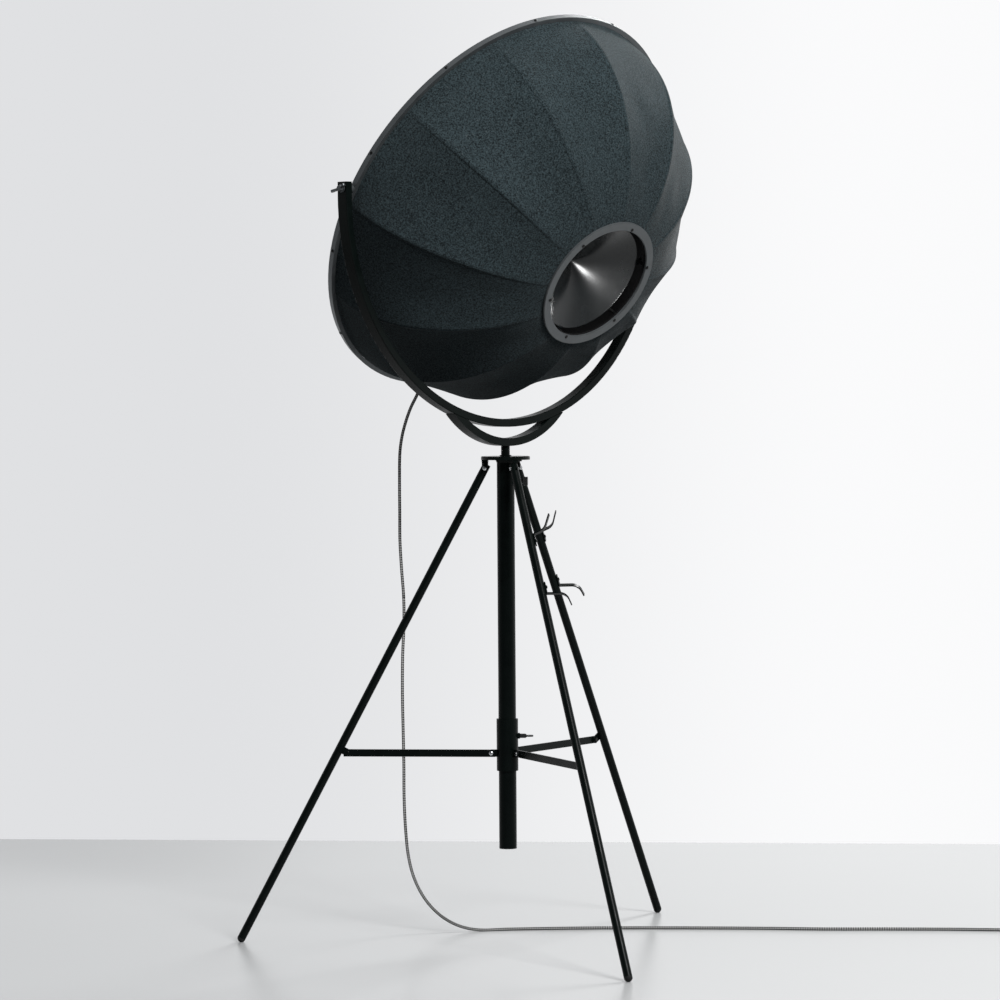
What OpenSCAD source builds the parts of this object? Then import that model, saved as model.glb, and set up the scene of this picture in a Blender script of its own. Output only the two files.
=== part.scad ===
// Tripod spotlight floor lamp: a ribbed cloth shade held in a steel fork, on a
// sliding stem and a folding tripod with a spreader collar.
// Millimetres, +Z up, origin on the floor under the column. Leg 1 points to -X.

/* [Tripod] */
// Height of the top face of the tripod's plate above the floor
tripod_h = 1000; // [900:10:1100]
// Radius of the circle on which the feet stand
foot_r = 554; // [480:2:620]
// Diameter of the top plate
plate_d = 100; // [98:1:120]
// Thickness of the top plate
plate_t = 7; // [5:0.5:8]
// Outer diameter of the column
column_d = 36; // [34:0.5:38]
// Wall of the column
column_wall = 2; // [1.5:0.25:3]
// Length of the column under the plate
column_l = 796; // [760:2:840]
// Outer diameter of a leg tube
leg_d = 17; // [15:0.5:19]
// Wall of a leg tube
leg_wall = 1.5; // [1:0.25:2]
// Radius at which the legs are hinged
hinge_r = 42; // [40:0.5:44]
// Depth of the hinge axes under the plate's top face
hinge_drop = 24; // [23:0.5:28]
// Thickness of the tongue that a slotted leg end straddles
tongue_t = 4; // [3:0.5:5]
// Diameter of a hinge bolt
hinge_bolt_d = 6; // [5:0.5:7]
// Depth of the flat on which a rubber foot stands
foot_flat = 0.5; // [0.4:0.1:1]

/* [Spreader] */
// Length of the sliding collar
collar_l = 106; // [96:1:116]
// Wall of the collar
collar_wall = 4; // [3:0.5:5]
// Height of the collar's middle above the floor
collar_h = 410; // [406:1:420]
// Height of the braces above the floor
brace_h = 393; // [388:1:398]
// Height of a brace's flat section
brace_w = 15; // [12:0.5:16]
// Thickness of a brace
brace_t = 3; // [2:0.5:4]
// Thickness of the ears that carry the braces
ear_t = 3; // [2:0.5:4]
// Distance of a brace's pin from the tube or collar that carries it
ear_reach = 10.5; // [10:0.5:13]
// Diameter of a brace's bolts
brace_bolt_d = 5; // [4:0.5:6]
// Height of the collar's thumb screw above the floor
collar_screw_h = 428; // [426:1:434]

/* [Stem] */
// Outer diameter of the sliding stem
stem_d = 18; // [17:0.5:20]
// Wall of the stem
stem_wall = 3; // [2.5:0.25:3.5]
// Length of the stem
stem_l = 740; // [700:5:770]
// Length of the stem that shows above the plate at its lowest
stem_show = 12; // [10:1:20]
// Length of the guide bush inside the column
bush_l = 74; // [70:1:90]
// Thread diameter of the thumb screws
screw_d = 6; // [5:0.5:7]
// Depth of the stem's clamp screw under the plate's top face
stem_screw_drop = 51; // [48:1:56]

/* [Fork] */
// Width of the fork's bar
bar_w = 26; // [22:1:30]
// Thickness of the fork's bar
bar_t = 16; // [14:0.5:18]
// Rounding of the bar's edges
bar_edge = 2; // [1:0.5:3]
// Gap between the shade's rim and the fork's arms
fork_gap = 11; // [9:0.5:14]
// Straight length of an arm under the tilt axis
fork_drop = 17; // [12:1:30]
// Length of an arm above the tilt axis
fork_tip = 13; // [11:1:18]
// Half the distance between the cradle's two ends
cradle_half = 160; // [140:2:180]
// Height of the fork's underside above the cradle's underside
cradle_drop = 39; // [36:1:44]
// Height of the boss between the stem and the cradle
boss_l = 9; // [8:0.5:16]
// Length of the turning pin in the stem
spigot_l = 50; // [40:1:70]
// Diameter of a wing bolt
wing_bolt_d = 8; // [7:0.5:9]
// Direction that the back of the shade faces, seen from above
heading = -38.3; // [-50:0.1:-20]

/* [Shade] */
// Outer radius of the rim hoop
hoop_r = 429; // [420:1:440]
// Radial thickness of the rim hoop
hoop_t = 9; // [7:0.5:10]
// Width of the rim hoop
hoop_w = 12; // [11:0.5:16]
// Distance of the rim's centre under the tilt axis
rim_drop = 19.5; // [0:0.5:22]
// Depth of the cloth bowl from the rim to the back ring
bowl_depth = 317; // [300:1:335]
// Length over which the cloth runs on straight behind the rim
rim_pull = 180; // [150:1:200]
// Length over which the cloth runs in straight to the back ring
ring_pull = 114; // [95:1:130]
// Angle by which the cloth narrows at the back ring
ring_slope = 81.5; // [76:0.5:86]
// Thickness of the lined cloth
cloth_t = 2; // [1.5:0.5:2.5]
// Depth of a panel's middle inside its ribs
panel_sag = 16; // [8:1:20]
// Number of ribs
rib_n = 12; // [12]
// Diameter of a rib wire
rib_d = 4.4; // [3.6:0.2:5]
// Angle of the first rib about the shade's axis
rib_phase = 1.5; // [0:0.5:10]
// Radial thickness of the inner hoop that carries the ribs
rib_hoop_t = 12; // [10:0.5:14]
// Angle by which the back of the shade looks down
shade_tilt = 32; // [20:0.5:50]
// Outer radius of the back ring
ring_r = 140; // [136:1:144]
// Width of the back ring
ring_w = 18; // [17:0.5:20]
// Thickness of the back ring
ring_t = 4; // [3:0.5:5]
// Radius of the funnel's rim
cone_r = 117; // [110:1:118]
// Depth of the funnel from its rim to its tip
cone_depth = 74; // [60:1:80]
// Diameter of the crossbar that carries the lamp holder
crossbar_d = 14; // [12:0.5:16]
// Diameter of the bulb
bulb_d = 95; // [80:1:100]

/* [Cord] */
// Diameter of the cord
cord_d = 6.5; // [5:0.5:7]

/* [Hidden] */
$fn = 64;
run_gap = 0.05;   // radial play of a part that turns or slides in another
seat_gap = 0.3;   // air between parts that lie against each other
weld_gap = 0.1;   // joint line of two pieces that are welded together
eps = 0.5;        // how far a cutting shape runs past a face

leg_turns = [180, -60, 60];             // directions of legs 1, 2 and 3
leg_r = leg_d / 2;
hinge_z = tripod_h - hinge_drop;
plate_z = tripod_h - plate_t;           // underside of the plate
foot_z = leg_r - foot_flat;             // centre of a foot's round end
leg_run = foot_r - hinge_r;
leg_rise = hinge_z - foot_z;
leg_angle = atan(leg_run / leg_rise);   // from the vertical
leg_l = sqrt(leg_run * leg_run + leg_rise * leg_rise);
leg_top = 8;                            // leg tube above the hinge axis
lug_w = 13;
lug_block = plate_z - hinge_z - norm([leg_top, leg_r]) - 1;
bolt_head_h = 3;

column_r = column_d / 2;
column_bottom = plate_z - column_l;
collar_in_r = column_r + run_gap;
collar_r = collar_in_r + collar_wall;
ear_in = max(leg_r - ear_t, 1);         // side of the ears that faces the tube
ear_out = ear_in + ear_t;
brace_in = leg_r + 0.5;                 // the braces pass beside the leg tubes
brace_out = brace_in + brace_t;
collar_pin_r = collar_r + ear_reach;
leg_pin_reach = leg_r + ear_reach;
leg_pin_l = (hinge_z - brace_h - leg_pin_reach * sin(leg_angle)) / cos(leg_angle);
leg_pin_r = hinge_r + leg_pin_l * sin(leg_angle) - leg_pin_reach * cos(leg_angle);
brace_end = brace_w / 2 + 0.5;          // bar beyond the pin

stem_r = stem_d / 2;
stem_top = tripod_h + stem_show;
bush_neck_r = stem_r + 3;
bush_lip = 2.5;
cradle_z = stem_top + boss_l;           // underside of the cradle
fork_in_r = hoop_r + fork_gap;
fork_out_r = fork_in_r + bar_t;
pivot_z = cradle_z + cradle_drop + fork_out_r + fork_drop;
fork_z = pivot_z - fork_drop;           // centre of the fork's arc
cradle_rise = fork_z - sqrt(pow(fork_out_r, 2) - pow(cradle_half, 2)) - cradle_z;
cradle_out_r = (pow(cradle_half, 2) + pow(cradle_rise, 2)) / (2 * cradle_rise);
cradle_sweep = asin(cradle_half / cradle_out_r) + 4;

cloth_r = hoop_r - hoop_t - seat_gap;   // outside of the cloth at the rim
cloth_steps = 9;          // rings of the cloth between rim and back ring
cloth_cols = 4;           // columns in one panel
rib_hoop_r = (cloth_r - cloth_t) * cos(180 / rib_n / cloth_cols) - seat_gap;
rib_hoop_back = 3;
rib_off = cloth_t + 0.4 + rib_d / 2;    // rib's centre under the cloth's outside
ring_in_r = ring_r - ring_w;
hem_r = ring_r - 4;                     // where the cloth turns flat under the ring
hem_in_r = ring_in_r + 2;
hem_s = bowl_depth;       // outside of the cloth under the ring
// Meridian of the cloth, as [distance along the axis, radius]: a cubic curve with two pulls
bowl_a = [hoop_w / 2 + 0.5, cloth_r];   // the ribs bend out behind the rim hoop
bowl_b = bowl_a + [rim_pull, 0];
bowl_d = [hem_s, hem_r];
bowl_c = bowl_d - ring_pull * [cos(ring_slope), -sin(ring_slope)];
sag_front = 0.6;          // moves a panel's deepest place towards the rim
clamp_t = 3;
clamp_s = hem_s - cloth_t - seat_gap;   // back face of the clamp ring
clamp_r = hem_r - 2.2;
cone_gap = 16;                          // length of the funnel's spacers
cone_s = clamp_s - clamp_t - cone_gap;  // rim plane of the funnel
cone_t = 1.5;
screw_ring_r = ring_in_r + 4.5;
screw_phase = 16.5;       // first screw's angle after the first rib
holder_r = 22;
holder_s = 12;
holder_l = 56;
bulb_neck_r = 13.5;
bulb_s = holder_s + holder_l + sqrt(pow(bulb_d / 2, 2) - pow(bulb_neck_r, 2));
relief_l = 20;
relief_r = 6;

column_grey = [0.03, 0.035, 0.035];
satin_black = [0.05, 0.06, 0.06];
metal_grey = [0.25, 0.27, 0.28];
cloth_grey = [0.17, 0.2, 0.21];
cord_grey = [0.45, 0.45, 0.45];
bright = [0.7, 0.7, 0.7];
rubber = [0.04, 0.04, 0.04];

// ---------------------------------------------------------------- helpers

// A ring or tube along +Z
module tube(r_out, r_in, h) {
    difference() {
        cylinder(r = r_out, h = h);
        translate([0, 0, -eps]) cylinder(r = r_in, h = h + 2 * eps);
    }
}

// Rectangle with round corners, centred
module round_rect(w, h, r) {
    square([w - 2 * r, h], center = true);
    square([w, h - 2 * r], center = true);
    for (x = [-1, 1], y = [-1, 1]) translate([x * (w / 2 - r), y * (h / 2 - r)]) circle(r = r, $fn = 32);
}

// Frame of a leg's plane: +X outwards
module leg_plane(k) {
    rotate([0, 0, leg_turns[k]]) children();
}

// Frame of a leg: origin at its hinge, -Z down the leg, +X to its outer side
module leg_frame(k) {
    leg_plane(k) translate([hinge_r, 0, hinge_z]) rotate([0, -leg_angle, 0]) children();
}

// Frame of the fork: origin on the tilt axis, which is Y; +X to the back
module fork_frame() {
    translate([0, 0, pivot_z]) rotate([0, 0, heading]) children();
}

// Frame of the shade: origin in the middle of the rim, +X along the shade's axis to the back
module shade_frame() {
    fork_frame() rotate([0, shade_tilt, 0]) translate([0, 0, -rim_drop]) children();
}

// Turns shapes that stand on +Z so that they lie along +X
module along_x() {
    rotate([0, 90, 0]) children();
}

// Cylinder along Y from y0 to y1
module pin_y(r, y0, y1) {
    translate([0, y1, 0]) rotate([90, 0, 0]) cylinder(r = r, h = y1 - y0);
}

// Cross-slotted screw head's solid: a low dome on a short disc, along +Z
module screw_head(r, h) {
    difference() {
        intersection() {
            cylinder(r = r, h = h);
            translate([0, 0, h - 1.6 * r]) sphere(r = 1.6 * r);
        }
        for (a = [0, 90]) rotate([0, 0, a]) translate([-r * 0.6, -r * 0.12, h * 0.55])
            cube([r * 1.2, r * 0.24, h]);
    }
}

// ---------------------------------------------------------------- swept tubes

function unit(v) = v / norm(v);
function tangent(p, i) = unit(p[min(i + 1, len(p) - 1)] - p[max(i - 1, 0)]);

// Points at even steps on the smooth curve through p, n steps between two points
function before(p, i) = i > 0 ? p[i - 1] : 2 * p[0] - p[1];
function after(p, i) = i + 2 < len(p) ? p[i + 2] : 2 * p[i + 1] - p[i];
function curve_point(a, b, c, d, u) =
    0.5 * (2 * b + (c - a) * u + (2 * a - 5 * b + 4 * c - d) * u * u + (3 * b - a - 3 * c + d) * u * u * u);
function curve(p, n) = [for (i = [0 : len(p) - 2]) for (k = [0 : n - 1])
    curve_point(before(p, i), p[i], p[i + 1], after(p, i), k / n), p[len(p) - 1]];

// Ring of points round p[i], square to the path; across is never along the path
function ring_points(p, i, r, sides, across) =
    let (t = tangent(p, i), u = unit(cross(t, across)), v = cross(t, u))
    [for (j = [0 : sides - 1]) p[i] + r * (cos(360 * j / sides) * u + sin(360 * j / sides) * v)];

// Closed tube round a path
module swept_tube(p, r, sides, across) {
    n = len(p);
    points = [for (i = [0 : n - 1]) each ring_points(p, i, r, sides, across)];
    walls = [for (i = [0 : n - 2]) for (j = [0 : sides - 1])
        let (a = i * sides + j, b = i * sides + (j + 1) % sides)
            each [[a, b + sides, b], [a, a + sides, b + sides]]];
    ends = [[for (j = [0 : sides - 1]) j], [for (j = [sides - 1 : -1 : 0]) (n - 1) * sides + j]];
    polyhedron(points = points, faces = concat(walls, ends), convexity = 10);
}

// ---------------------------------------------------------------- tripod

module top_plate() {
    color(satin_black)
    translate([0, 0, plate_z]) difference() {
        union() {
            cylinder(d = plate_d, h = plate_t - 1);
            cylinder(d = plate_d - 2, h = plate_t);
        }
        translate([0, 0, -eps]) cylinder(r = bush_neck_r + run_gap, h = plate_t + 2 * eps);
        for (k = [0 : 2]) leg_plane(k) translate([hinge_r, 0, -eps]) cylinder(d = 5, h = plate_t + 2 * eps);
    }
}

module column_tube() {
    flare = 3;
    color(column_grey)
    difference() {
        union() {
            translate([0, 0, column_bottom]) cylinder(r = column_r, h = column_l - weld_gap);
            translate([0, 0, plate_z - weld_gap - 2 * flare])
                cylinder(r1 = column_r, r2 = column_r + flare, h = 2 * flare);
            translate([0, 0, tripod_h - stem_screw_drop]) along_x() cylinder(r = screw_d, h = column_r + 6);
        }
        translate([0, 0, column_bottom - eps]) cylinder(r = column_r - column_wall, h = column_l + 2 * eps);
        translate([0, 0, tripod_h - stem_screw_drop]) along_x()
            cylinder(r = screw_d / 2 + run_gap, h = 2 * column_d);
    }
}

module column_bush() {
    color(rubber)
    difference() {
        union() {
            translate([0, 0, plate_z - weld_gap - bush_l])
                cylinder(r = column_r - column_wall - run_gap, h = bush_l);
            translate([0, 0, plate_z - 1]) cylinder(r = bush_neck_r, h = plate_t + 1 + bush_lip);
        }
        translate([0, 0, plate_z - bush_l - 1])
            cylinder(r = stem_r + run_gap, h = bush_l + plate_t + bush_lip + 2);
        translate([0, 0, tripod_h - stem_screw_drop]) along_x()
            cylinder(r = screw_d / 2 + run_gap, h = column_d);
    }
}

module column_cap() {
    color(rubber)
    translate([0, 0, column_bottom]) {
        translate([0, 0, weld_gap]) tube(column_r - column_wall - run_gap, column_r - column_wall - 3, 14);
        translate([0, 0, weld_gap]) cylinder(r = column_r - column_wall - 2.5, h = 3);
    }
}

// Block under the plate with a tongue that the slotted leg straddles
module leg_lugs() {
    color(metal_grey)
    for (k = [0 : 2]) leg_plane(k) translate([hinge_r, 0, 0]) difference() {
        union() {
            translate([-lug_w / 2, -lug_w / 2, plate_z - weld_gap - lug_block])
                cube([lug_w, lug_w, lug_block]);
            translate([-lug_w / 2, -tongue_t / 2, hinge_z])
                cube([lug_w, tongue_t, plate_z - weld_gap - hinge_z]);
            translate([0, 0, hinge_z]) pin_y(lug_w / 2, -tongue_t / 2, tongue_t / 2);
            translate([0, 0, plate_z - weld_gap - 1]) cylinder(d = 4.8, h = plate_t + 1);
        }
        translate([0, 0, hinge_z]) pin_y(hinge_bolt_d / 2 + run_gap, -tongue_t, tongue_t);
    }
}

module hinge_bolts() {
    color(bright)
    for (k = [0 : 2]) leg_plane(k) translate([hinge_r, 0, hinge_z]) {
        pin_y(hinge_bolt_d / 2, -leg_r - seat_gap - 1, leg_r + seat_gap + 1);
        translate([0, leg_r + seat_gap, 0]) rotate([-90, 0, 0]) screw_head(hinge_bolt_d * 0.75, 2);
        translate([0, -leg_r - seat_gap, 0]) rotate([90, 0, 0]) screw_head(hinge_bolt_d * 0.75, 2);
    }
}

module leg(k) {
    cap_joint = -leg_l + 1;
    slot_foot = lug_w / 2 + 1.5;
    color(satin_black)
    leg_frame(k) difference() {
        union() {
            translate([0, 0, cap_joint]) cylinder(r = leg_r, h = leg_top - cap_joint);
            translate([-leg_pin_reach, ear_in, -leg_pin_l - brace_w / 2])
                cube([leg_pin_reach, ear_t, brace_w]);
            translate([-leg_pin_reach, 0, -leg_pin_l]) pin_y(brace_w / 2, ear_in, ear_out);
        }
        translate([0, 0, cap_joint - eps]) cylinder(r = leg_r - leg_wall, h = leg_top - cap_joint + 2 * eps);
        translate([0, 0, -slot_foot])
            translate([-leg_d, -tongue_t / 2 - seat_gap, 0])
                cube([2 * leg_d, tongue_t + 2 * seat_gap, leg_top + leg_d]);
        pin_y(hinge_bolt_d / 2 + run_gap, -leg_d, leg_d);
        translate([-leg_pin_reach, 0, -leg_pin_l]) pin_y(brace_bolt_d / 2 + run_gap, ear_in - 1, ear_out + 1);
    }
}

module foot_cap(k) {
    plug_l = 22;
    color(rubber)
    difference() {
        leg_frame(k) translate([0, 0, -leg_l]) {
            intersection() {
                sphere(r = leg_r);
                translate([-leg_d, -leg_d, -leg_d]) cube([2 * leg_d, 2 * leg_d, leg_d]);
            }
            cylinder(r = leg_r, h = 1 - weld_gap);
            cylinder(r = leg_r - leg_wall - run_gap, h = plug_l);
        }
        leg_plane(k) translate([foot_r - leg_d, -leg_d, -leg_d]) cube([2 * leg_d, 2 * leg_d, leg_d]);
    }
}

// Nut of the bolt that joins a brace to the leg's ear
module ear_nut(k) {
    color(bright)
    leg_frame(k) translate([-leg_pin_reach, 0, -leg_pin_l]) {
        pin_y(brace_bolt_d / 2, ear_in - 2, ear_out - weld_gap);
        pin_y(brace_bolt_d * 0.85, ear_in - 3, ear_in - weld_gap);
    }
}

// ---------------------------------------------------------------- cable hooks

hook_w = 10;
hook_t = 2.5;
hook_r = 22;           // bend of a hook
hook_foot = 24;        // flange along the leg
hook_steps = 10;       // steps of a bend
upper_hook_l = 152;    // distances from the hinge, down the leg
lower_hook_l = 283;

// Frame of a hook on the side of a leg: +X away from the leg, +Z up the leg
module hook_frame(k, l) {
    leg_frame(k) translate([0, 0, -l]) rotate([0, 0, -leg_turns[k]]) translate([leg_r + weld_gap, 0, 0])
        children();
}

// Middle line of a hook in its plane: an arm that rises, a bend to side 1 or -1, and a straight tip
function heading_of(a) = [cos(a), sin(a)];
function left_of(a) = [-sin(a), cos(a)];
function hook_path(rise, arm, bend, tip, side) =
    let (start = arm * heading_of(rise), centre = start + side * hook_r * left_of(rise),
        last = rise + side * bend)
    concat([[0, 0]],
        [for (i = [0 : hook_steps]) centre - side * hook_r * left_of(rise + side * bend * i / hook_steps)],
        [centre - side * hook_r * left_of(last) + tip * heading_of(last)]);

// Outline of a strip of the hooks' thickness round a path
function beside(p, i, d) = let (t = tangent(p, i)) p[i] + d * [-t[1], t[0]];
function strip_outline(p) = concat(
    [for (i = [0 : len(p) - 1]) beside(p, i, -hook_t / 2)],
    [for (i = [len(p) - 1 : -1 : 0]) beside(p, i, hook_t / 2)]);

// A hook: flange on the leg, and the bent strip
module hook(rise, arm, bend, tip, side) {
    translate([0, -hook_w / 2, side > 0 ? -hook_foot : -hook_t / 2])
        cube([hook_t, hook_w, hook_foot + hook_t / 2]);
    rotate([90, 0, 0]) linear_extrude(height = hook_w, center = true)
        polygon(strip_outline(hook_path(rise, arm, bend, tip, side)));
}

module leg_hooks(k) {
    color(satin_black)
    difference() {
        union() {
            hook_frame(k, upper_hook_l) hook(12, 14, 50, 24, 1);
            hook_frame(k, lower_hook_l) hook(-13.5, 26, 66, 12, -1);
        }
        hook_frame(k, upper_hook_l) translate([-eps, 0, -hook_foot / 2 - 2]) along_x()
            cylinder(d = 4.2, h = 2 * hook_t);
        hook_frame(k, lower_hook_l) translate([-eps, 0, hook_foot / 2 + 2]) along_x()
            cylinder(d = 4.2, h = 2 * hook_t);
    }
}

module hook_screws(k) {
    color(metal_grey)
    for (place = [[upper_hook_l, -1], [lower_hook_l, 1]])
        hook_frame(k, place[0]) translate([0, 0, place[1] * (hook_foot / 2 + 2)]) along_x() {
            cylinder(d = 4, h = hook_t + 1);
            translate([0, 0, hook_t + weld_gap]) screw_head(3.6, 2.4);
        }
}

// ---------------------------------------------------------------- spreader

module collar() {
    color(satin_black)
    difference() {
        union() {
            translate([0, 0, collar_h - collar_l / 2]) cylinder(r = collar_r, h = collar_l);
            translate([0, 0, collar_screw_h]) along_x() cylinder(r = screw_d, h = collar_r + 4);
            for (k = [0 : 2]) leg_plane(k) translate([0, 0, brace_h]) {
                translate([collar_in_r * 0.6, ear_in, -brace_w / 2])
                    cube([collar_pin_r - collar_in_r * 0.6, ear_t, brace_w]);
                translate([collar_pin_r, 0, 0]) pin_y(brace_w / 2, ear_in, ear_out);
            }
        }
        translate([0, 0, collar_h - collar_l / 2 - eps]) cylinder(r = collar_in_r, h = collar_l + 2 * eps);
        translate([0, 0, collar_screw_h]) along_x() cylinder(r = screw_d / 2 + run_gap, h = 2 * column_d);
        for (k = [0 : 2]) leg_plane(k) translate([collar_pin_r, 0, brace_h])
            pin_y(brace_bolt_d / 2 + run_gap, ear_in - 1, ear_out + 1);
    }
}

module collar_bolts() {
    color(bright)
    for (k = [0 : 2]) leg_plane(k) translate([collar_pin_r, 0, brace_h]) {
        pin_y(brace_bolt_d / 2, ear_in - 2, brace_out + 1);
        pin_y(brace_bolt_d * 0.85, ear_in - 3, ear_in - weld_gap);
        translate([0, brace_out + seat_gap, 0]) rotate([-90, 0, 0]) screw_head(brace_bolt_d * 0.85, 2.2);
    }
}

// Thumb screw along +X: shank, hub and a flat paddle
module collar_screw() {
    hub_s = collar_r + 4 + seat_gap;
    hub_l = 11;
    paddle_l = 16;
    color(metal_grey)
    translate([0, 0, collar_screw_h]) {
        translate([column_r + weld_gap, 0, 0]) along_x() cylinder(d = screw_d, h = hub_s + 1 - column_r);
        translate([hub_s, 0, 0]) along_x() cylinder(r = 4.5, h = hub_l);
        translate([hub_s + hub_l, 0, 0]) along_x() cylinder(r1 = 4.5, r2 = 2, h = 3);
        translate([hub_s + hub_l, 0, -1.5]) intersection() {
            translate([0, -10, 0]) cube([paddle_l, 20, 3]);
            translate([paddle_l / 2, 0, 0]) cylinder(r = paddle_l / 2, h = 3);
        }
    }
}

module brace(k) {
    color(metal_grey)
    leg_plane(k) translate([0, 0, brace_h]) difference() {
        union() {
            translate([collar_pin_r - brace_end, brace_in, -brace_w / 2])
                cube([leg_pin_r - collar_pin_r + 2 * brace_end, brace_t, brace_w]);
            translate([leg_pin_r, brace_out - weld_gap, 0]) rotate([-90, 0, 0])
                screw_head(brace_bolt_d * 0.85, 2.2);
        }
        translate([collar_pin_r, 0, 0]) pin_y(brace_bolt_d / 2 + run_gap, brace_in - 1, brace_out + 1);
    }
}

// ---------------------------------------------------------------- stem

module stem_tube() {
    color(satin_black)
    translate([0, 0, stem_top - stem_l]) tube(stem_r, stem_r - stem_wall, stem_l);
}

// Ring that guides the foot of the stem in the column
module stem_glide() {
    color(rubber)
    translate([0, 0, stem_top - stem_l]) tube(column_r - column_wall - run_gap, stem_r + weld_gap, 20);
}

// Clamp screw along +X with a round knurled knob
module stem_screw() {
    knob_s = column_r + 6 + seat_gap + 12;
    knob_l = 9;
    teeth = 18;
    color(satin_black)
    translate([0, 0, tripod_h - stem_screw_drop]) along_x() {
        translate([0, 0, stem_r + weld_gap]) cylinder(d = screw_d, h = knob_s - stem_r);
        translate([0, 0, knob_s - 4]) cylinder(r1 = 4.5, r2 = 6, h = 4);
        difference() {
            translate([0, 0, knob_s]) cylinder(d = 18, h = knob_l);
            for (i = [0 : teeth - 1]) rotate([0, 0, i * 360 / teeth])
                translate([9.6, 0, knob_s - eps]) cylinder(r = 1.2, h = knob_l + 2 * eps, $fn = 16);
        }
    }
}

// ---------------------------------------------------------------- fork

// Sweeps a profile round a part of a circle in the YZ plane, hanging under the origin
module hanging_arc(r_mid, sweep) {
    rotate([0, 90, 0]) rotate([0, 0, -sweep / 2])
        rotate_extrude(angle = sweep) translate([r_mid, 0]) children();
}

module fork_arc() {
    r_mid = fork_in_r + bar_t / 2;
    color(satin_black)
    fork_frame() difference() {
        union() {
            translate([0, 0, -fork_drop]) hanging_arc(r_mid, 180) round_rect(bar_t, bar_w, bar_edge);
            for (side = [-1, 1]) translate([0, side * r_mid, -fork_drop]) rotate([0, 0, 90])
                linear_extrude(height = fork_drop + fork_tip) round_rect(bar_t, bar_w, bar_edge);
        }
        pin_y(wing_bolt_d / 2 + run_gap, -fork_out_r - 1, fork_out_r + 1);
    }
}

// Angle under the fork's arc at which a circle of radius r about the cradle's centre meets the arc
function cradle_meets(r) =
    let (gap = fork_z - cradle_z - cradle_out_r)
    acos((fork_out_r * fork_out_r + gap * gap - r * r) / (2 * gap * fork_out_r));

module fork_cradle() {
    end_angle = (cradle_meets(cradle_out_r) + cradle_meets(cradle_out_r - bar_t)) / 2;
    end_l = 50;
    color(satin_black)
    rotate([0, 0, heading]) difference() {
        translate([0, 0, cradle_z + cradle_out_r]) hanging_arc(cradle_out_r - bar_t / 2, 2 * cradle_sweep)
            square([bar_t, bar_w], center = true);
        for (side = [-1, 1]) translate([0, 0, fork_z]) rotate([side * end_angle, 0, 0])
            translate([-bar_w, -end_l, -fork_out_r - weld_gap]) cube([2 * bar_w, 2 * end_l, end_l]);
    }
}

// Boss under the cradle with the pin that turns in the stem
module fork_spigot() {
    color(satin_black) {
        translate([0, 0, stem_top + seat_gap]) cylinder(r = stem_r, h = boss_l - seat_gap - weld_gap);
        translate([0, 0, stem_top - spigot_l]) cylinder(r = stem_r - stem_wall - run_gap, h = spigot_l + 1);
    }
}

module pivot_washers() {
    color(metal_grey)
    fork_frame() for (side = [0, 180]) rotate([0, 0, side]) translate([0, fork_in_r - weld_gap, 0])
        rotate([90, 0, 0])
        tube(wing_bolt_d, wing_bolt_d / 2 + run_gap, fork_gap - weld_gap - seat_gap);
}

// Wing bolt on the +Y side: shank through the fork into the hoop, hub and two wings
module wing_bolt() {
    hub_r = 7;
    hub_l = 9;
    wing_l = 15;
    color(metal_grey) {
        pin_y(wing_bolt_d / 2, hoop_r - hoop_t + weld_gap, fork_out_r + 2);
        translate([0, fork_out_r + seat_gap, 0]) rotate([-90, 0, 0]) {
            cylinder(r = hub_r + 1.5, h = 2);
            cylinder(r1 = hub_r, r2 = hub_r - 2, h = hub_l);
            for (side = [-1, 1]) hull() {
                translate([side * 3, 0, hub_l / 2]) pin_y(2.5, -2, 2, $fn = 32);
                translate([side * wing_l, 0, hub_l + 1]) pin_y(4.5, -2, 2, $fn = 32);
            }
        }
    }
}

module wing_bolt_right() {
    fork_frame() rotate([0, 35, 0]) wing_bolt();
}

module wing_bolt_left() {
    fork_frame() rotate([0, 0, 180]) rotate([0, 20, 0]) wing_bolt();
}

// ---------------------------------------------------------------- shade

module rim_hoop() {
    color(metal_grey)
    shade_frame() difference() {
        translate([-hoop_w / 2, 0, 0]) along_x() tube(hoop_r, hoop_r - hoop_t, hoop_w, $fn = 180);
        translate([0, 0, rim_drop]) pin_y(wing_bolt_d / 2 + run_gap, -hoop_r - 1, hoop_r + 1);
        translate([0, 0, -hoop_r - 1]) cylinder(r = relief_r - 2 + run_gap, h = hoop_t + 2);
    }
}

module rib_hoop() {
    front = -hoop_w / 2 + 1;
    color(satin_black)
    shade_frame() translate([front, 0, 0]) along_x()
        tube(rib_hoop_r, rib_hoop_r - rib_hoop_t, rib_hoop_back - front, $fn = 180);
}

// Low screws round the rim hoop, between the ribs
module rim_screws() {
    color(metal_grey)
    shade_frame() for (i = [0 : rib_n - 1]) rotate([rib_phase + (i + 0.5) * 360 / rib_n, 0, 0])
        translate([0, hoop_r + weld_gap, 0]) rotate([-90, 0, 0]) screw_head(3.4, 2);
}

// Point of the cloth's meridian at the share v of the way from rim to back ring, moved out
// along its normal. Gives distance along the axis and radius.
function bowl_point(v, out) =
    let (u = 1 - v, t = u * u * (bowl_b - bowl_a) + 2 * u * v * (bowl_c - bowl_b) + v * v * (bowl_d - bowl_c))
    u * u * u * bowl_a + 3 * u * u * v * bowl_b + 3 * u * v * v * bowl_c + v * v * v * bowl_d
    + out * unit([-t[1], t[0]]);

// How far the cloth lies inside its ribs: none at rim, back ring and ribs, most in a panel's middle
function sag(v, q) =
    let (panels = (q - rib_phase) * rib_n / 360, share = panels - floor(panels))
    4 * panel_sag * share * (1 - share) * sin(180 * pow(v, sag_front));

function around(s, r, q) = [s, r * cos(q), r * sin(q)];

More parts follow.
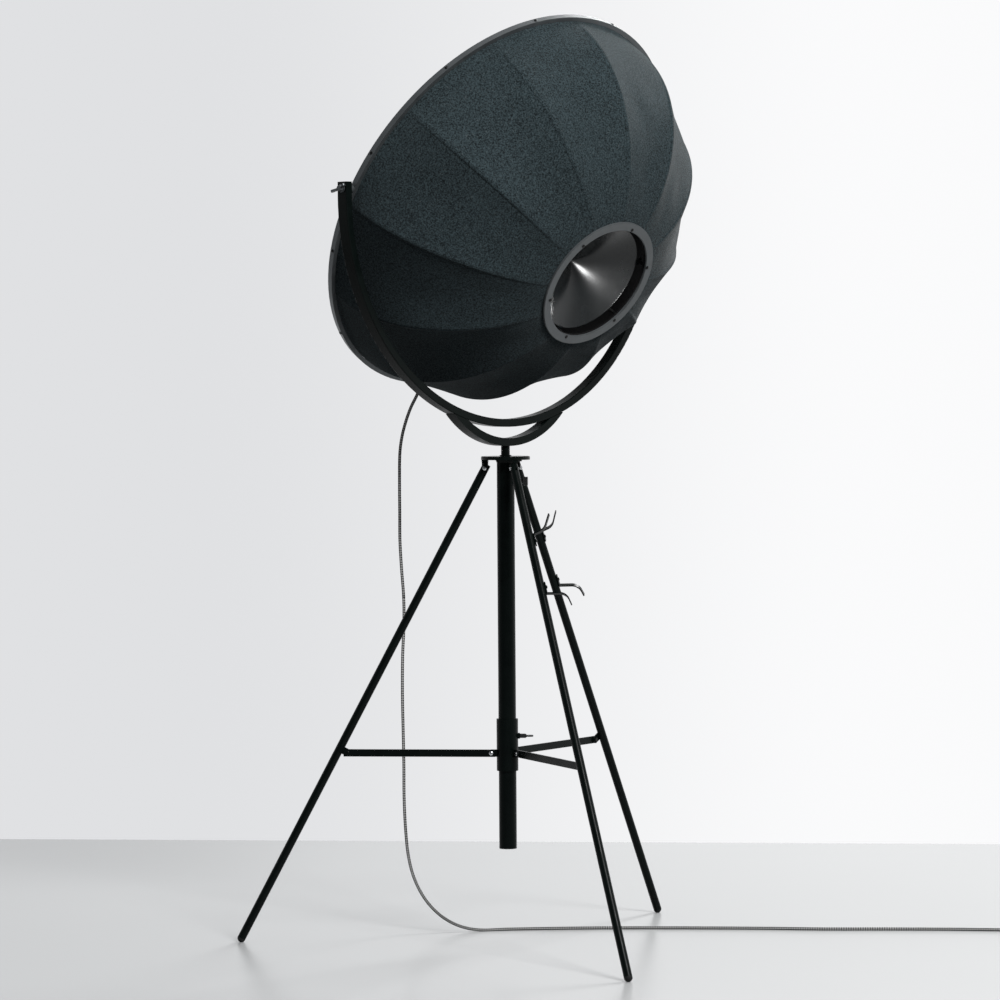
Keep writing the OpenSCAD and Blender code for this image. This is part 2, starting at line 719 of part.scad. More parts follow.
// Ring of the cloth's skin that lies in-wards by depth
function cloth_ring(i, q, depth) =
    i == 0 ? around(-hoop_w / 2, cloth_r - depth, q) :
    i == cloth_steps + 2 ? around(hem_s - depth, hem_in_r, q) :
    let (v = (i - 1) / cloth_steps, p = bowl_point(v, -sag(v, q) - depth))
    i == cloth_steps + 1 ? around(hem_s - depth, hem_r, q) : around(p[0], p[1], q);

module shade_cloth() {
    rings = cloth_steps + 3;
    cols = cloth_cols * rib_n;
    points = [for (depth = [0, cloth_t]) for (i = [0 : rings - 1]) for (j = [0 : cols - 1])
        cloth_ring(i, rib_phase + j * 360 / cols, depth)];
    inner = rings * cols;
    skin = [for (i = [0 : rings - 2]) for (j = [0 : cols - 1])
        let (a = i * cols + j, b = i * cols + (j + 1) % cols)
            each [[a, b, b + cols], [a, b + cols, a + cols]]];
    lining = [for (f = skin) [f[0] + inner, f[2] + inner, f[1] + inner]];
    edges = [for (j = [0 : cols - 1]) let (k = (j + 1) % cols, e = (rings - 1) * cols)
        each [[j, inner + j, inner + k], [j, inner + k, k],
              [e + j, e + k, inner + e + k], [e + j, inner + e + k, inner + e + j]]];
    color(cloth_grey)
    shade_frame() polyhedron(points = points, faces = concat(skin, lining, edges), convexity = 10);
}

// Wires under the cloth's ridges, from the inner hoop to the clamp ring
module ribs() {
    path = concat([[rib_hoop_back + seat_gap, cloth_r - rib_off]],
        [for (i = [0 : cloth_steps]) bowl_point(i / cloth_steps, -rib_off)]);
    color(metal_grey)
    shade_frame() for (k = [0 : rib_n - 1]) rotate([rib_phase + k * 360 / rib_n, 0, 0])
        swept_tube([for (p = path) [p[0], p[1], 0]], rib_d / 2, 6, [0, 0, 1]);
}

module screw_places(n, r) {
    for (i = [0 : n - 1]) rotate([rib_phase + screw_phase + i * 360 / n, 0, 0]) translate([0, r, 0])
        along_x() children();
}

module back_ring() {
    color(metal_grey)
    shade_frame() difference() {
        translate([hem_s + seat_gap, 0, 0]) along_x() {
            tube(ring_r, ring_in_r, ring_t - 1, $fn = 128);
            tube(ring_r - 1, ring_in_r + 1, ring_t, $fn = 128);
        }
        translate([hem_s, 0, 0]) screw_places(6, screw_ring_r) cylinder(d = 4.2, h = 2 * ring_t);
    }
}

module clamp_ring() {
    color(metal_grey)
    shade_frame() difference() {
        translate([clamp_s - clamp_t, 0, 0]) along_x() tube(clamp_r, ring_in_r, clamp_t, $fn = 128);
        translate([clamp_s - 2 * clamp_t, 0, 0]) screw_places(6, screw_ring_r)
            cylinder(d = 4.2, h = 3 * clamp_t);
    }
}

module ring_screws() {
    color(bright)
    shade_frame() screw_places(6, screw_ring_r) {
        translate([0, 0, hem_s + seat_gap + ring_t + weld_gap]) screw_head(3.8, 2);
        translate([0, 0, hem_s + seat_gap]) cylinder(d = 4, h = ring_t + 1);
    }
}

// Sheet-metal funnel with its tip towards the bulb: the radius grows with a power of the depth
module funnel() {
    steps = 14;
    flare = 0.72;
    outside = [for (i = [0 : steps]) let (v = i / steps) [cone_r * v,
        cone_s - cone_depth * (1 - pow(v, flare))]];
    color(metal_grey)
    shade_frame() {
        along_x() rotate_extrude($fn = 128)
            polygon(concat(outside, [for (i = [steps : -1 : 0]) outside[i] - [0, cone_t]]));
        for (i = [0 : 2]) rotate([rib_phase + screw_phase + i * 120, 0, 0]) difference() {
            translate([cone_s - cone_t, cone_r - 1, -7]) cube([cone_t, screw_ring_r - cone_r + 7, 14]);
            translate([cone_s - 3 * cone_t, screw_ring_r, 0]) along_x() cylinder(d = 4.2, h = 6 * cone_t);
        }
    }
}

module funnel_spacers() {
    color(bright)
    shade_frame() translate([cone_s + weld_gap, 0, 0]) screw_places(3, screw_ring_r)
        tube(4, 2.1, cone_gap - 2 * weld_gap);
}

module crossbar() {
    reach = rib_hoop_r - rib_hoop_t - seat_gap;
    color(satin_black)
    shade_frame() translate([0, 0, -reach]) tube(crossbar_d / 2, crossbar_d / 2 - 1.5, 2 * reach);
}

module lamp_holder() {
    hub_l = 44;
    color(rubber)
    shade_frame() difference() {
        union() {
                translate([0, 0, -hub_l / 2]) cylinder(r = crossbar_d / 2 + 4, h = hub_l);
            translate([holder_s - 4, 0, 0]) along_x() cylinder(r = holder_r - 4, h = 8);
            translate([holder_s, 0, 0]) along_x() cylinder(r = holder_r, h = holder_l);
        }
        translate([0, 0, -hub_l / 2 - eps]) cylinder(r = crossbar_d / 2 + run_gap, h = hub_l + 2 * eps);
        translate([holder_s + 14, 0, 0]) along_x() cylinder(r = bulb_neck_r + 1, h = holder_l);
    }
}

module bulb() {
    color([0.9, 0.9, 0.85])
    shade_frame() {
        translate([bulb_s, 0, 0]) sphere(d = bulb_d);
        translate([holder_s + 14 + weld_gap, 0, 0]) along_x() cylinder(r = bulb_neck_r, h = holder_l);
    }
}

// Tapered strain relief at the lowest point of the rim
module cord_gland() {
    color(rubber)
    shade_frame() mirror([0, 0, 1]) {
        translate([0, 0, hoop_r - hoop_t + weld_gap]) cylinder(r = relief_r - 2, h = hoop_t + 1);
        translate([0, 0, hoop_r + weld_gap]) cylinder(r = relief_r, h = 3);
        translate([0, 0, hoop_r + weld_gap + 2])
            cylinder(r1 = relief_r - 0.8, r2 = cord_d / 2 + 0.6, h = relief_l - 2);
    }
}

// ---------------------------------------------------------------- cord

cord_r = cord_d / 2;
cord_sides = 8;

// Coil beyond the right edge of the view: two loops spiral in on the floor,
// climb one layer where the spiral turns, and two loops spiral out on top.
coil_x = 1085;
coil_y = 198;
coil_in_r = 28;        // radius where the spiral turns
loop_pitch = cord_d + 0.9;
layer_h = cord_d + 0.9;
loops = 2;             // loops in a layer
loop_steps = 24;
coil_turns = 2 * loops;
function coil_radius(t) = coil_in_r + loop_pitch * abs(t - loops);
function coil_layer(t) = t < loops - 0.25 ? 0 : t > loops + 0.25 ? 1 : 2 * (t - loops) + 0.5;
function coil_point(t) = let (a = 90 - 360 * t, r = coil_radius(t))
    [coil_x + r * cos(a), coil_y + r * sin(a), cord_r + layer_h * coil_layer(t)];
coil_loops = [for (i = [0 : coil_turns * loop_steps]) coil_point(i / loop_steps)];
// The free end leaves the top layer, comes down beside the coil and ends at the plug
coil_tail = [[1101, 241, 10.2], [1117, 236.5, 7], [1131, 227, 4], [1141, 214, cord_r], [1145, 199, cord_r]];
coil_path = concat(coil_loops, coil_tail);
plug_at = coil_tail[len(coil_tail) - 1];

// Least gap of the coil to itself, between points more than a third of a loop apart
coil_gap = min([for (i = [0 : 2 : len(coil_path) - 1]) for (j = [i + loop_steps / 3 : len(coil_path) - 1])
    norm(coil_path[i] - coil_path[j])]) - cord_d;
echo(coil_gap = coil_gap);

// Tip of the strain relief, which hangs from the rim at its lowest point
relief_reach = rim_drop + hoop_r + relief_l + 2 * weld_gap;
relief_side = -relief_reach * sin(shade_tilt);
relief_tip = [relief_side * cos(heading), relief_side * sin(heading),
    pivot_z - relief_reach * cos(shade_tilt)];

// Route of the cord: out of the relief, down to the floor and away to the right.
// The points are chosen by hand; the floor run lies at the height of the cord's radius.
drop_points = [[-202, 159.5, 1121], [-214, 166.5, 1099], [-225, 171.5, 1071], [-234, 173.5, 1038],
    [-239, 174, 1000], [-240, 174, 940], [-240, 174, 880], [-240, 174, 820], [-237, 174, 760],
    [-233, 174, 700], [-233, 173, 640], [-236, 173, 580], [-237, 172, 500], [-236, 172, 420],
    [-235, 171, 350], [-235, 171, 280], [-232, 170, 210], [-226, 169, 155], [-213, 168, 108],
    [-190, 167, 66], [-158, 167, 33], [-120, 170, 12]];
floor_points = [[-78, 177], [-20, 192], [60, 206], [160, 219], [280, 227], [400, 231], [520, 232],
    [640, 228], [760, 234], [880, 238], [980, 236], [1050, 234]];
cord_points = concat([relief_tip], drop_points, [for (p = floor_points) [p[0], p[1], cord_r]], [coil_path[0]]);
top_last = 5;          // point where the stretch that follows the fork ends
hang_last = 10;        // point where the stretch that follows the stem ends
cord_path = curve(cord_points, 2);
cord_gap = 0.5;        // joint line between two stretches

function slice(p, a, b) = [for (i = [a : b]) p[i]];

// Stretch between two of the route's points; it starts a hair after the piece above it ends
module cord_stretch(a, b) {
    p = slice(cord_path, 2 * a, 2 * b);
    start = p[0] + cord_gap * unit(p[1] - p[0]);
    color(cord_grey) swept_tube(concat([start], slice(p, 1, len(p) - 1)), cord_r, cord_sides, [0, 1, 0]);
}

module cord_top() {
    cord_stretch(0, top_last);
}

module cord_hang() {
    cord_stretch(top_last, hang_last);
}

module cord_floor() {
    cord_stretch(hang_last, len(cord_points) - 1);
}

module cord_coil() {
    color(cord_grey) swept_tube(coil_path, cord_r, 6, [0, 0, 1]);
}

// Band that ties the coil on its far side
module cord_tie() {
    tie_t = 1;
    inner_r = coil_in_r - cord_r - seat_gap;
    outer_r = coil_radius(0) + cord_r + seat_gap;
    height = layer_h + cord_d + seat_gap;
    color(rubber)
    translate([coil_x, coil_y, 0]) rotate([0, 0, -60]) translate([0, -4, 0]) difference() {
        translate([inner_r - tie_t, 0, 0]) cube([outer_r - inner_r + 2 * tie_t, 8, height + tie_t]);
        translate([inner_r, -eps, -eps]) cube([outer_r - inner_r, 8 + 2 * eps, height + eps]);
    }
}

// Flat two-pin plug, lying on the floor: neck, waisted body and pins
module plug() {
    neck_l = 12;
    body_l = 34;
    body_w = 22;
    body_h = 13;
    shoulder = 4;
    half = body_w / 2;
    translate([plug_at[0], plug_at[1], 0]) rotate([0, 0, -82]) {
        color(rubber) difference() {
            union() {
                translate([weld_gap, 0, cord_r]) along_x()
                    cylinder(r1 = cord_r + 0.4, r2 = 4.6, h = neck_l + 2, $fn = 32);
                translate([neck_l, 0, 0]) linear_extrude(height = body_h)
                    polygon([[0, shoulder - half], [shoulder, -half], [body_l, -half],
                             [body_l, half], [shoulder, half], [0, half - shoulder]]);
            }
            translate([-eps, -body_w, -body_w]) cube([neck_l + body_l + 2 * eps, 2 * body_w, body_w]);
        }
        color(bright) for (side = [-1, 1]) translate([neck_l + body_l - 1, side * 7, body_h / 2]) along_x() {
            cylinder(d = 4, h = 18, $fn = 32);
            translate([0, 0, 18]) cylinder(d1 = 4, d2 = 2.4, h = 1.5, $fn = 32);
        }
    }
}

// ---------------------------------------------------------------- nodes

top_plate();
column_tube();
column_bush();
column_cap();
leg_lugs();
hinge_bolts();
leg(0);  // leg_1
leg(1);  // leg_2
leg(2);  // leg_3
foot_cap(0);  // foot_cap_1
foot_cap(1);  // foot_cap_2
foot_cap(2);  // foot_cap_3
ear_nut(0);  // ear_nut_1
ear_nut(1);  // ear_nut_2
ear_nut(2);  // ear_nut_3
leg_hooks(1);  // leg_2_hooks
leg_hooks(2);  // leg_3_hooks
hook_screws(1);  // hook_screws_2
hook_screws(2);  // hook_screws_3
collar();
collar_bolts();
collar_screw();
brace(0);  // brace_1
brace(1);  // brace_2
brace(2);  // brace_3
stem_tube();
stem_glide();
stem_screw();
fork_arc();
fork_cradle();
fork_spigot();
pivot_washers();
wing_bolt_left();
wing_bolt_right();
rim_hoop();
rib_hoop();
ribs();
rim_screws();
shade_cloth();
back_ring();
clamp_ring();
ring_screws();
funnel();
funnel_spacers();
crossbar();
lamp_holder();
bulb();
cord_gland();
cord_top();
cord_hang();
cord_floor();
cord_coil();
cord_tie();
plug();
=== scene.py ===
"""Looks of the tripod spotlight floor lamp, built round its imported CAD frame.

Metres, +Z up, origin on the floor under the column. The named sizes repeat the part's source.
"""

import bpy
import numpy as np
from mathutils import Matrix, Vector


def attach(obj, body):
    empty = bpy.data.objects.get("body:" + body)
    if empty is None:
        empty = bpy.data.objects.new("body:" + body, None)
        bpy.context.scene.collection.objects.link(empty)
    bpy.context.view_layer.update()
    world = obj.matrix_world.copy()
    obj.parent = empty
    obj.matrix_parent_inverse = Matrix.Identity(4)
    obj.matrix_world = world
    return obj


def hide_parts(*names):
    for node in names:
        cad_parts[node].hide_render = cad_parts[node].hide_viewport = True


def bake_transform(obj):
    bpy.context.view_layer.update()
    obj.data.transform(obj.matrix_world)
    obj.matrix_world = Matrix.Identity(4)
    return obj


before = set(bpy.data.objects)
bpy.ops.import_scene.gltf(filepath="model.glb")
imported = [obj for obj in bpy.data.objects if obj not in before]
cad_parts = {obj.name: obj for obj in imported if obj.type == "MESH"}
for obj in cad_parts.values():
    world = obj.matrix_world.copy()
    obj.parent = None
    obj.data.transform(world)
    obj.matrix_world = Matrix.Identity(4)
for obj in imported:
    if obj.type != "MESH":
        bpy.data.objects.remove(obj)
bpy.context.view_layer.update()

# ---------------------------------------------------------------- sizes of the lamp

PIVOT = np.array([0, 0, 1.533])          # middle of the tilt axis
HEADING = np.radians(-38.3)              # direction that the back of the shade faces
TILT = np.radians(32)                    # angle by which it looks down
TO_BACK = np.array([np.cos(HEADING) * np.cos(TILT), np.sin(HEADING) * np.cos(TILT), -np.sin(TILT)])
TO_SIDE = np.array([-np.sin(HEADING), np.cos(HEADING), 0])
TO_TOP = np.cross(TO_BACK, TO_SIDE)
RIM = PIVOT - 0.0195 * TO_TOP            # middle of the shade's rim

CLOTH_R = 0.4197                         # outside of the cloth at the rim
CLOTH_T = 0.002
HEM_R = 0.136
HEM_IN_R = 0.124
HEM_S = 0.317
HOOP_HALF = 0.006
RIM_PULL = 0.180                         # lengths of the curve's pulls at the rim and at the ring
RING_PULL = 0.114
RING_SLOPE = np.radians(81.5)
PANEL_SAG = 0.016                        # depth of a panel's middle inside its ribs
RIBS = 12
RIB_PHASE = np.radians(1.5)
CONE_R = 0.117
CONE_S = 0.2957
CONE_DEPTH = 0.074
CONE_T = 0.0015
CONE_FLARE = 0.72
CORD_R = 0.00325

# ---------------------------------------------------------------- surfaces


def put_together(name, points, faces, body, material, uvs=None):
    """Smooth mesh object at the origin from an array of points, a list of faces and their corner UVs."""
    mesh = bpy.data.meshes.new(name)
    mesh.from_pydata(np.asarray(points).reshape(-1, 3).tolist(), [], faces)
    if uvs is not None:
        layer = mesh.uv_layers.new(name="along")
        layer.data.foreach_set("uv", np.asarray(uvs, dtype=np.float32).ravel())
    mesh.polygons.foreach_set("use_smooth", np.full(len(mesh.polygons), True))
    mesh.materials.append(material)
    mesh.update()
    piece = bpy.data.objects.new(name, mesh)
    bpy.context.scene.collection.objects.link(piece)
    if body:
        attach(piece, body)
    return piece


def net(rows, cols, loop_rows=False, loop_cols=False):
    """Faces of a grid of points, and the row and column of each of their corners.

    A looped direction closes on itself: its last face ends at the first point again.
    """
    i, j = np.meshgrid(np.arange(rows - (not loop_rows)), np.arange(cols - (not loop_cols)), indexing="ij")
    i, j = i.ravel(), j.ravel()
    corner_row = np.stack([i, i + 1, i + 1, i], axis=1)
    corner_col = np.stack([j, j, j + 1, j + 1], axis=1)
    return (corner_row % rows) * cols + corner_col % cols, corner_row, corner_col


def in_shade(s, y, z):
    """Point of the shade's frame: the rim's middle plus s to the back, y to the side, z to the top."""
    s, y, z = np.broadcast_arrays(s, y, z)
    return RIM + s[..., None] * TO_BACK + y[..., None] * TO_SIDE + z[..., None] * TO_TOP


def turned(name, profile, body, material, sides):
    """Closed outline of (distance along the shade's axis, radius) turned about that axis.

    Every point of the outline goes round a full circle of its radius.
    """
    s, r = np.asarray(profile, dtype=float).T
    angle = np.arange(sides) * 2 * np.pi / sides
    points = in_shade(s[:, None] + 0 * angle, r[:, None] * np.cos(angle), r[:, None] * np.sin(angle))
    quads, _, _ = net(len(s), sides, loop_rows=True, loop_cols=True)
    return put_together(name, points, quads.tolist(), body, material)


# ---------------------------------------------------------------- camera


def place_camera():
    """Camera at the photograph's viewing angle: looks from the eye to the aim and rolls a little."""
    eye = Vector((0.778, -7.9621, 1.1796))
    aim = Vector((-0.0113, -0.0051, 0.9108))
    roll = np.radians(-0.394)
    forward = (aim - eye).normalized()
    level = forward.cross(Vector((0, 0, 1))).normalized()
    upright = level.cross(forward)
    right = level * np.cos(roll) + upright * np.sin(roll)
    up = upright * np.cos(roll) - level * np.sin(roll)
    lens = bpy.data.cameras.new("camera")
    lens.lens = 141.12
    lens.sensor_width = 36
    lens.sensor_fit = "HORIZONTAL"
    lens.clip_end = 60
    camera = bpy.data.objects.new("camera", lens)
    camera.matrix_world = Matrix.Translation(eye) @ Matrix((right, up, -forward)).transposed().to_4x4()
    bpy.context.scene.collection.objects.link(camera)
    bpy.context.scene.camera = camera


place_camera()

# ---------------------------------------------------------------- materials

PATCH_SIZE = 0.03                        # soft patches of a hard finish
THREAD_PITCH = 0.0014                    # of the cloth's twill
NAP_PER_M = 330.0                        # grains of the cloth's nap, flecks and clouds in a metre
FLECKS_PER_M = 300.0
CLOUDS_PER_M = 9.0
FIBRES_PER_M = 900.0                     # of the cord's sheath

def set_socket(tree, socket, value):
    """Links an output to the socket, or sets the socket to a plain value."""
    if isinstance(value, bpy.types.NodeSocket):
        tree.links.new(value, socket)
    else:
        socket.default_value = value


def add(tree, kind, setup=None, **inputs):
    """New shader node. Each input is named after its socket and holds a value or an output."""
    node = tree.nodes.new("ShaderNode" + kind)
    for key, value in (setup or {}).items():
        setattr(node, key, value)
    for key, value in inputs.items():
        set_socket(tree, node.inputs[key.replace("_", " ")], value)
    return node


def calc(tree, operation, *terms):
    """Output of a sum, product or other operation on values and outputs."""
    node = tree.nodes.new("ShaderNodeMath")
    node.operation = operation
    for socket, term in zip(node.inputs, terms):
        set_socket(tree, socket, term)
    return node.outputs[0]


def mix(tree, share, one, other):
    """Colour between one and other, at the given share of other."""
    node = tree.nodes.new("ShaderNodeMix")
    node.data_type = "RGBA"
    for socket, value in zip((node.inputs[0], node.inputs[6], node.inputs[7]), (share, one, other)):
        set_socket(tree, socket, value)
    return node.outputs[2]


def spread(tree, value, low, high, to_low, to_high, soft=False):
    """Maps the range low..high of a value to to_low..to_high, and holds it there."""
    kind = {"interpolation_type": "SMOOTHSTEP" if soft else "LINEAR"}
    return add(tree, "MapRange", kind, Value=value, From_Min=low, From_Max=high,
               To_Min=to_low, To_Max=to_high).outputs[0]


def new_material(name, **values):
    """Material with a Principled shader; the values go to its sockets."""
    material = bpy.data.materials.new(name)
    material.use_nodes = True
    tree = material.node_tree
    shader = tree.nodes["Principled BSDF"]
    for key, value in values.items():
        shader.inputs[key.replace("_", " ")].default_value = value
    return material, tree, shader


def shade_of(colour, factor):
    """The colour, lighter or darker by the factor, as an opaque one."""
    return (colour[0] * factor, colour[1] * factor, colour[2] * factor, 1)


def hard_finish(name, colour, rough, metal=0.0, level=0.5, patches=0.1,
                grain_size=0.0008, grain_depth=0.00002, rough_play=0.06):
    """Painted, plated or moulded surface.

    Soft patches vary its colour and roughness, and a fine grain its colour and relief.
    """
    material, tree, shader = new_material(name, Metallic=metal, Specular_IOR_Level=level)
    place = add(tree, "TexCoord").outputs["Object"]
    patch = add(tree, "TexNoise", None, Vector=place, Scale=1 / PATCH_SIZE, Detail=3.0).outputs[0]
    grain = add(tree, "TexNoise", None, Vector=place, Scale=1 / grain_size, Detail=2.0).outputs[0]
    blend = calc(tree, "ADD", calc(tree, "MULTIPLY", patch, 0.7), calc(tree, "MULTIPLY", grain, 0.3))
    tone = spread(tree, blend, 0.3, 0.7, 0.0, 1.0)
    colour_out = mix(tree, tone, shade_of(colour, 1 - patches), shade_of(colour, 1 + patches))
    tree.links.new(colour_out, shader.inputs["Base Color"])
    tree.links.new(spread(tree, patch, 0.3, 0.7, rough - rough_play, rough + rough_play),
                   shader.inputs["Roughness"])
    relief = add(tree, "Bump", None, Height=grain, Distance=grain_depth, Strength=1.0)
    tree.links.new(relief.outputs[0], shader.inputs["Normal"])
    return material


def felt_cloth(name, colour, fleck, level=0.1):
    """Brushed woollen cloth: a fine twill under a nap of fibres with pale and dark flecks.

    It reads the cloth's own UV map in metres: u across a panel, v along it.
    """
    material, tree, shader = new_material(name, Roughness=0.92, Specular_IOR_Level=level,
                                          Sheen_Weight=0.12, Sheen_Roughness=0.45)
    along = add(tree, "UVMap", {"uv_map": "along"}).outputs[0]
    place = add(tree, "TexCoord").outputs["Object"]
    split = add(tree, "SeparateXYZ", None, Vector=along)
    u, v = split.outputs[0], split.outputs[1]
    thread = 2 * np.pi / THREAD_PITCH
    warp = calc(tree, "SINE", calc(tree, "MULTIPLY", calc(tree, "ADD", u, v), thread))
    weft = calc(tree, "SINE", calc(tree, "MULTIPLY", calc(tree, "SUBTRACT", u, v), thread * 0.5))
    weave = calc(tree, "ADD", calc(tree, "MULTIPLY", warp, 0.3), calc(tree, "MULTIPLY", weft, 0.2))
    nap = add(tree, "TexNoise", None, Vector=place, Scale=NAP_PER_M, Detail=2.0, Roughness=0.8).outputs[0]
    flecks = add(tree, "TexNoise", None, Vector=place, Scale=FLECKS_PER_M, Detail=1.0).outputs[0]
    cloud = add(tree, "TexNoise", None, Vector=place, Scale=CLOUDS_PER_M, Detail=3.0).outputs[0]
    tone = calc(tree, "ADD", calc(tree, "MULTIPLY", nap, 0.93), calc(tree, "MULTIPLY", cloud, 0.07))
    base = mix(tree, spread(tree, tone, 0.38, 0.62, 0.0, 1.0), shade_of(colour, 0.25), shade_of(colour, 1.75))
    spots = spread(tree, flecks, 0.64, 0.76, 0.0, 0.6)
    tree.links.new(mix(tree, spots, base, shade_of(fleck, 1)), shader.inputs["Base Color"])
    height = calc(tree, "ADD", calc(tree, "MULTIPLY", weave, 0.5), nap)
    relief = add(tree, "Bump", None, Height=height, Distance=0.0004, Strength=0.8)
    tree.links.new(relief.outputs[0], shader.inputs["Normal"])
    return material


def braided_sheath(name, pale, dark, strands, pitch):
    """Textile braid of two colours: strands wind both ways round the cord and cross over each other.

    It reads the cord's own UV map: u in metres along it, v once round it.
    """
    material, tree, shader = new_material(name, Roughness=0.8, Specular_IOR_Level=0.2, Sheen_Weight=0.15)
    along = add(tree, "UVMap", {"uv_map": "along"}).outputs[0]
    place = add(tree, "TexCoord").outputs["Object"]
    split = add(tree, "SeparateXYZ", None, Vector=along)
    down = calc(tree, "MULTIPLY", split.outputs[0], 2 * np.pi * strands / pitch / 2)
    round_it = calc(tree, "MULTIPLY", split.outputs[1], 2 * np.pi * strands / 2)
    one_way = calc(tree, "SINE", calc(tree, "ADD", down, round_it))
    other_way = calc(tree, "SINE", calc(tree, "SUBTRACT", down, round_it))
    crossing = calc(tree, "MULTIPLY", one_way, other_way)
    fibre = add(tree, "TexNoise", None, Vector=place, Scale=FIBRES_PER_M, Detail=2.0).outputs[0]
    uneven = calc(tree, "ADD", crossing, calc(tree, "MULTIPLY", fibre, 0.4))
    share = spread(tree, uneven, 0.05, 0.35, 0.0, 1.0)
    tree.links.new(mix(tree, share, dark, pale), shader.inputs["Base Color"])
    relief = add(tree, "Bump", None, Height=calc(tree, "ADD", crossing, fibre), Distance=0.0003, Strength=0.8)
    tree.links.new(relief.outputs[0], shader.inputs["Normal"])
    return material


BLACK = (0.0035, 0.006, 0.0055)
satin_black = hard_finish("satin_black_paint", BLACK, 0.3, level=0.08, patches=0.25, grain_depth=0.00001)
dark_metal = hard_finish("dark_satin_metal", (0.105, 0.115, 0.12), 0.42, metal=0.55, level=0.5, patches=0.14)
ring_metal = hard_finish("ring_satin_metal", (0.12, 0.13, 0.135), 0.45, metal=0.35, level=0.4, patches=0.12)
bright_steel = hard_finish("bright_steel", (0.55, 0.56, 0.57), 0.28, metal=1.0, patches=0.08)
black_screws = hard_finish("black_screws", (0.012, 0.013, 0.013), 0.3, metal=0.6, level=0.5)
black_rubber = hard_finish("black_rubber", (0.011, 0.012, 0.012), 0.7, level=0.3, patches=0.3,
                           grain_size=0.0015, grain_depth=0.00006)
black_plastic = hard_finish("black_plastic", (0.012, 0.0125, 0.013), 0.42, level=0.4, patches=0.2)
funnel_black = hard_finish("gloss_black_metal", (0.004, 0.0065, 0.0075), 0.26, level=0.42,
                           patches=0.2, rough_play=0.02, grain_depth=0.000004)
frosted_glass = hard_finish("frosted_glass", (0.85, 0.84, 0.8), 0.35, level=0.5, patches=0.02)
charcoal_felt = felt_cloth("charcoal_felt", (0.030, 0.0435, 0.0485), (0.095, 0.115, 0.12))
# Near-black felt for the lining inside the shade: painted shade, so that the inside and the gap at the back
# ring read as black
painted_shade_felt = felt_cloth("painted_shade_felt", (0.004, 0.004, 0.0045), (0.008, 0.008, 0.009))
cord_braid = braided_sheath("cord_braid", (0.6, 0.6, 0.59, 1), (0.02, 0.02, 0.021, 1), strands=4, pitch=0.02)


def dress(material, *nodes):
    """Gives CAD nodes a material."""
    for node in nodes:
        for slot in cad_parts[node].material_slots:
            slot.material = material


dress(satin_black, "top_plate", "column_tube", "column_bush", "leg_lugs", "leg_1", "leg_2", "leg_3",
      "leg_2_hooks", "leg_3_hooks", "collar", "brace_1", "brace_2", "brace_3", "stem_tube",
      "fork_arc", "fork_cradle", "fork_spigot", "crossbar", "rib_hoop", "ribs")
dress(dark_metal, "rim_hoop", "pivot_washers", "wing_bolt_left", "wing_bolt_right")
# Painted shade: the clamp ring and the funnel's spacers get the near-black felt so that the gap between ring
# and funnel reads as black
dress(painted_shade_felt, "clamp_ring", "funnel_spacers")
dress(ring_metal, "back_ring")
dress(bright_steel, "hinge_bolts", "collar_bolts", "stem_glide")
dress(black_screws, "ring_screws", "rim_screws", "hook_screws_2", "hook_screws_3",
      "ear_nut_1", "ear_nut_2", "ear_nut_3")
dress(black_plastic, "stem_screw", "collar_screw", "column_cap", "lamp_holder", "plug", "cord_tie")
dress(black_rubber, "foot_cap_1", "foot_cap_2", "foot_cap_3", "cord_gland")
dress(frosted_glass, "bulb")

# ---------------------------------------------------------------- cord

MM = 0.001
RELIEF_REACH = 0.4687                    # from the tilt axis to the tip of the strain relief
DROP = [[-202, 159.5, 1121], [-214, 166.5, 1099], [-225, 171.5, 1071], [-234, 173.5, 1038],
        [-239, 174, 1000], [-240, 174, 940], [-240, 174, 880], [-240, 174, 820], [-237, 174, 760],
        [-233, 174, 700], [-233, 173, 640], [-236, 173, 580], [-237, 172, 500], [-236, 172, 420],
        [-235, 171, 350], [-235, 171, 280], [-232, 170, 210], [-226, 169, 155], [-213, 168, 108],
        [-190, 167, 66], [-158, 167, 33], [-120, 170, 12]]
FLOOR_RUN = [[-78, 177], [-20, 192], [60, 206], [160, 219], [280, 227], [400, 231], [520, 232],
             [640, 228], [760, 234], [880, 238], [980, 236], [1050, 234]]
COIL_TAIL = [[1101, 241, 10.2], [1117, 236.5, 7], [1131, 227, 4], [1141, 214, 3.25], [1145, 199, 3.25]]
COIL_MIDDLE = (1.085, 0.198)
COIL_IN_R = 0.028
LOOP_PITCH = 0.0074
TOP_LAST = 5                             # point of the route where the fork's stretch ends
HANG_LAST = 10                           # point of the route where the stem's stretch ends
ROUTE_STEPS = 6                          # between two points of the route


def smooth_route(points, steps):
    """Catmull-Rom curve through the points, with the given number of steps between two of them."""
    p = np.asarray(points, dtype=float)
    before = np.vstack([2 * p[0] - p[1], p[:-2]])[:, None]
    after = np.vstack([p[2:], 2 * p[-1] - p[-2]])[:, None]
    here, there = p[:-1, None], p[1:, None]
    u = (np.arange(steps) / steps)[None, :, None]
    spans = 0.5 * (2 * here + (there - before) * u + (2 * before - 5 * here + 4 * there - after) * u ** 2
                   + (3 * here - before - 3 * there + after) * u ** 3)
    return np.vstack([spans.reshape(-1, 3), p[-1]])


def coil_loops():
    """Two loops that spiral in on the floor, then two that spiral out on top of them.

    The angle falls from 90 degrees by a full turn a loop; the radius is the inner one plus a
    pitch for each loop away from the middle, and the layer changes over half a loop there.
    """
    t = np.arange(0, 4 + 1 / 48, 1 / 24)
    angle = np.pi / 2 - 2 * np.pi * t
    r = COIL_IN_R + LOOP_PITCH * np.abs(t - 2)
    layer = np.clip(2 * (t - 2) + 0.5, 0, 1)
    return np.stack([COIL_MIDDLE[0] + r * np.cos(angle), COIL_MIDDLE[1] + r * np.sin(angle),
                     CORD_R + LOOP_PITCH * layer], axis=1)


